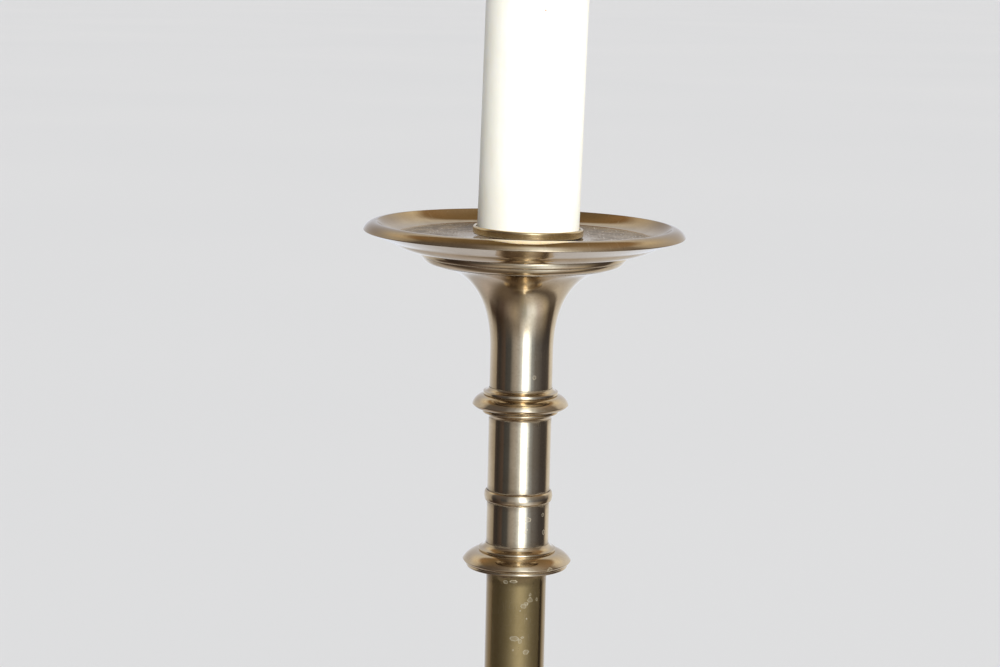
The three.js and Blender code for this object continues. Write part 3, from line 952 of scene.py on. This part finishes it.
def add_floor():
    shader = Shader("floor")
    surface = shader.blend(shader.noise(shader.place, 0.0004, 2.0), (0.76, 0.765, 0.775), (0.80, 0.80, 0.805))
    grain = shader.bump(shader.noise(shader.place, 0.4, 3.0), 0.05, 0.2)
    half = 80.0
    corners = [(-half, -half, 0), (half, -half, 0), (half, half, 0), (-half, half, 0)]
    mesh = bpy.data.meshes.new("floor")
    mesh.from_pydata(corners, [], [(0, 1, 2, 3)])
    mesh.materials.append(shader.finish(Base_Color=surface, Roughness=0.9, Normal=grain))
    floor = bpy.data.objects.new("floor", mesh)
    floor.visible_glossy = False
    bpy.context.scene.collection.objects.link(floor)


# ---------------------------------------------------------------- the pieces


def build_stem(polished, moulded, lacquered):
    def add(node, shape, material):
        piece = lathe(node + "_turned", shape, Size(node).bottom)
        settle(piece, "stand", material, node)

    for node in ("upper_sleeve", "lower_sleeve", "base_sleeve"):
        add(node, sleeve(Size(node)), polished)
    for node in ("upper_shaft", "lower_shaft"):
        add(node, shaft(Size(node)), lacquered)
    for node in ("bead_ring", "base_bead_ring"):
        add(node, bead(Size(node)), moulded)
    add("upper_knop", upper_knop(Size("upper_knop")), moulded)
    add("centre_knop", centre_knop(Size("centre_knop")), moulded)
    for node in ("skirt_collar", "centre_collar_bottom"):
        add(node, bell_collar(Size(node)), moulded)
    for node in ("centre_collar_top", "base_skirt_collar"):
        add(node, upside_down(bell_collar(Size(node)), Size(node).height), moulded)
    neck = Size("trumpet_neck")
    add("trumpet_neck", flared_neck(neck), polished)
    # The foot of the stem is drawn as the trumpet neck the other way up.
    add("base_neck", upside_down(flared_neck(neck), neck.height), polished)


def build_pan(moulded, pan_brass):
    collar = Size("pan_collar")
    piece = lathe("pan_collar_turned", pan_collar(collar), collar.bottom, WIDE_SEGMENTS)
    settle(piece, "stand", moulded, "pan_collar")
    pan = Size("drip_pan")
    true_radius = 58

    def wobble(radius, level, angle):
        """Bends the pan's edge very slightly out of true."""
        edge = max(0.0, (radius - true_radius) / (pan.radius - true_radius))
        bent = -0.6 * math.cos(angle)
        lift = 0.07 * math.sin(3 * angle + 0.7) + 0.03 * math.sin(7 * angle + 2.1)
        return radius - edge * 0.05 * (1 + math.sin(5 * angle)), level + edge * (bent + lift)

    piece = lathe("drip_pan_spun", drip_pan(pan), pan.bottom, WIDE_SEGMENTS, wobble)
    settle(piece, "stand", pan_brass, "drip_pan")


def build_base(polished, felt_cloth, steel_sheet):
    dome = Size("base_dome")
    piece = lathe("base_dome_spun", base_dome(dome), dome.bottom, WIDE_SEGMENTS)
    settle(piece, "stand", polished, "base_dome")
    for node, slot, material in (
        ("base_plate", "bright_steel", steel_sheet),
        ("felt_pad", "green_felt", felt_cloth),
    ):
        size = Size(node)
        piece = lathe(node + "_disc", (tube(size, 0), ()), size.bottom, WIDE_SEGMENTS)
        settle(piece, "stand", material, node)


def build_candle(wax_body, cotton_cord, golden):
    """The cup, the candle standing in it and the wick, all leaning together."""
    cup, candle = Size("candle_cup"), Size("candle")
    up = Vector((math.sin(CANDLE_LEAN), 0, math.cos(CANDLE_LEAN)))
    pivot = cup.centre - up * (CUP_HEIGHT / 2)

    def upright(name, shape, lift, ease):
        piece = lathe(name, shape, pivot.z + lift, WIDE_SEGMENTS, ease=ease)
        piece.data.transform(Matrix.Translation((pivot.x * MM, pivot.y * MM, 0)))
        leaning(piece, pivot)
        return piece

    ring = upright("candle_cup_ring", candle_cup(cup), 0, 0.15)
    settle(ring, "cup", golden, "candle_cup")
    pillar = upright("candle_pillar", candle_pillar(candle), CANDLE_FOOT, 0.6)
    settle(pillar, "candle", wax_body, "candle")
    build_wick(cotton_cord, pivot + up * (CANDLE_FOOT + CANDLE_LENGTH), up)


def build_wick(cotton_cord, mouth, up):
    """Three strands laid up into a cord, rising from the candle's mouth and leaning over a little."""
    below, above, radius = 7.0, 10.4, 1.05
    rings, sides = 90, 30
    lay = 2 * math.pi / 5.5
    verts = []
    for ring in range(rings + 1):
        along = -below + (below + above) * ring / rings
        bend = max(0.0, along) ** 2 * 0.006
        middle = mouth + up * (along - 0.5 * bend) + Vector((bend * 0.5, -bend, 0))
        ends = min(1.0, (rings - ring) / 4 + 0.45)
        for side in range(sides):
            angle = 2 * math.pi * side / sides
            strand = 1 + 0.16 * math.cos(3 * (angle - lay * along))
            out = Vector((math.cos(angle), math.sin(angle), 0)) * radius * strand * ends
            verts.append((middle + out) * MM)
    faces = []
    for ring in range(rings):
        for side in range(sides):
            here, there = ring * sides + side, ring * sides + (side + 1) % sides
            faces.append((here, there, there + sides, here + sides))
    faces.append(tuple(reversed(range(sides))))
    faces.append(tuple(range(rings * sides, (rings + 1) * sides)))
    wick = finished_mesh("candle_wick_braid", verts, faces, [0.0] * len(verts))
    settle(wick, "candle", cotton_cord, "candle_wick")


def build_pricket(machined):
    size = Size("pricket_spike")
    piece = lathe("pricket_turned", pricket(size), size.bottom + PRICKET_SHANK, 64, ease=0.2)
    settle(piece, "stand", machined, "pricket_spike")


def dress_hidden_pieces(machined, zinc_steel, cast):
    dressed = {
        machined: ("upper_bush", "lower_bush"),
        zinc_steel: ("tie_rod", "rod_coupling", "base_washer", "base_nut"),
        cast: ("base_weight",),
    }
    for material, nodes in dressed.items():
        for node in nodes:
            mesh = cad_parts[node].data
            mesh.materials.clear()
            mesh.materials.append(material)


def sleeve_water_marks():
    """The dried drops on the sleeves, the skirt collar and the neck, as water_marks takes them."""
    sleeve_top = Size("lower_sleeve").top
    skirt_bottom = Size("skirt_collar").bottom
    neck_bottom = Size("trumpet_neck").bottom
    return [
        (18, sleeve_top - 6.5, 1.1, 1.5), (14, sleeve_top - 13, 0.5, 1.0), (17, sleeve_top - 11.5, 0.4, 1.0),
        (52, sleeve_top - 5, 0.8, 1.0), (56, sleeve_top - 14, 1.0, 1.0),
        (38, skirt_bottom + 3.2, 0.9, 0.9),
        (25, neck_bottom + 7, 0.9, 1.0),
    ]


def shaft_water_marks():
    """The dried drops on the shafts, placed from the upper shaft's collar down."""
    top = Size("skirt_collar").bottom
    return [
        (-20, top - 5.6, 0.8, 1.4), (-5, top - 5.0, 0.6, 2.8), (28, top - 12, 0.5, 1.0),
        (28, top - 14.7, 1.1, 1.2), (44, top - 15, 0.7, 0.8), (15, top - 17.6, 1.0, 1.4),
        (20, top - 16.6, 0.7, 1.6), (9, top - 20, 0.3, 1.0), (22, top - 24.4, 0.35, 1.0),
        (-1, top - 34.5, 1.1, 2.0), (10, top - 35.9, 1.0, 0.9), (15, top - 34, 0.35, 2.6),
        (22, top - 41.6, 1.1, 1.4), (-3, top - 40.5, 0.3, 1.0), (-60, top - 70, 1.2, 1.5),
        (120, top - 40, 1.3, 1.3), (-150, top - 25, 1.1, 1.6),
    ]


# ---------------------------------------------------------------- the scene

pan_size, candle_size = Size("drip_pan"), Size("candle")
pan_dust = (pan_size.bottom + PAN_FLOOR_LEVEL, PAN_FLOOR_RADIUS)
burnt_speck = (candle_size.centre.x + 4, -candle_size.radius, pan_size.top + 106)
clean, dulled = (0.76, 0.64, 0.46), (0.60, 0.49, 0.33)
sleeve_marks, shaft_marks = sleeve_water_marks(), shaft_water_marks()

polished = brass("polished_brass", clean, dulled, 0.09, sleeve_marks, turned=0.9)
moulded = brass("moulded_brass", clean, dulled, 0.06, sleeve_marks, turned=0.3)
pan_brass = brass("pan_brass", (0.74, 0.61, 0.42), (0.54, 0.42, 0.27), 0.07, dust=pan_dust)
lacquered = brass("lacquered_brass", (0.34, 0.255, 0.12), (0.28, 0.205, 0.09), 0.52, shaft_marks, coat=0.4)
golden = brass("golden_brass", (0.80, 0.65, 0.39), (0.64, 0.49, 0.28), 0.12)
machined = brass("plain_brass", (0.70, 0.56, 0.33), (0.56, 0.42, 0.24), 0.28)
zinc_steel = steel("bright_steel")

add_camera(pan_size)
add_world(PALE, GLOW)
build_stem(polished, moulded, lacquered)
build_pan(moulded, pan_brass)
build_base(polished, felt("green_felt"), zinc_steel)
build_candle(wax("ivory_wax", burnt_speck), cotton("cotton_wick"), golden)
build_pricket(machined)
dress_hidden_pieces(machined, zinc_steel, iron("cast_iron"))
object_pieces = [piece for piece in bpy.data.objects if piece.type == "MESH"]
add_floor()
key = add_sun("key", azimuth=17, elevation=14, strength=4.7, spread=18)
light_only(key, object_pieces)
add_sun("top", azimuth=40, elevation=65, strength=1.86, spread=60)

bpy.context.scene.view_settings.view_transform = "Standard"
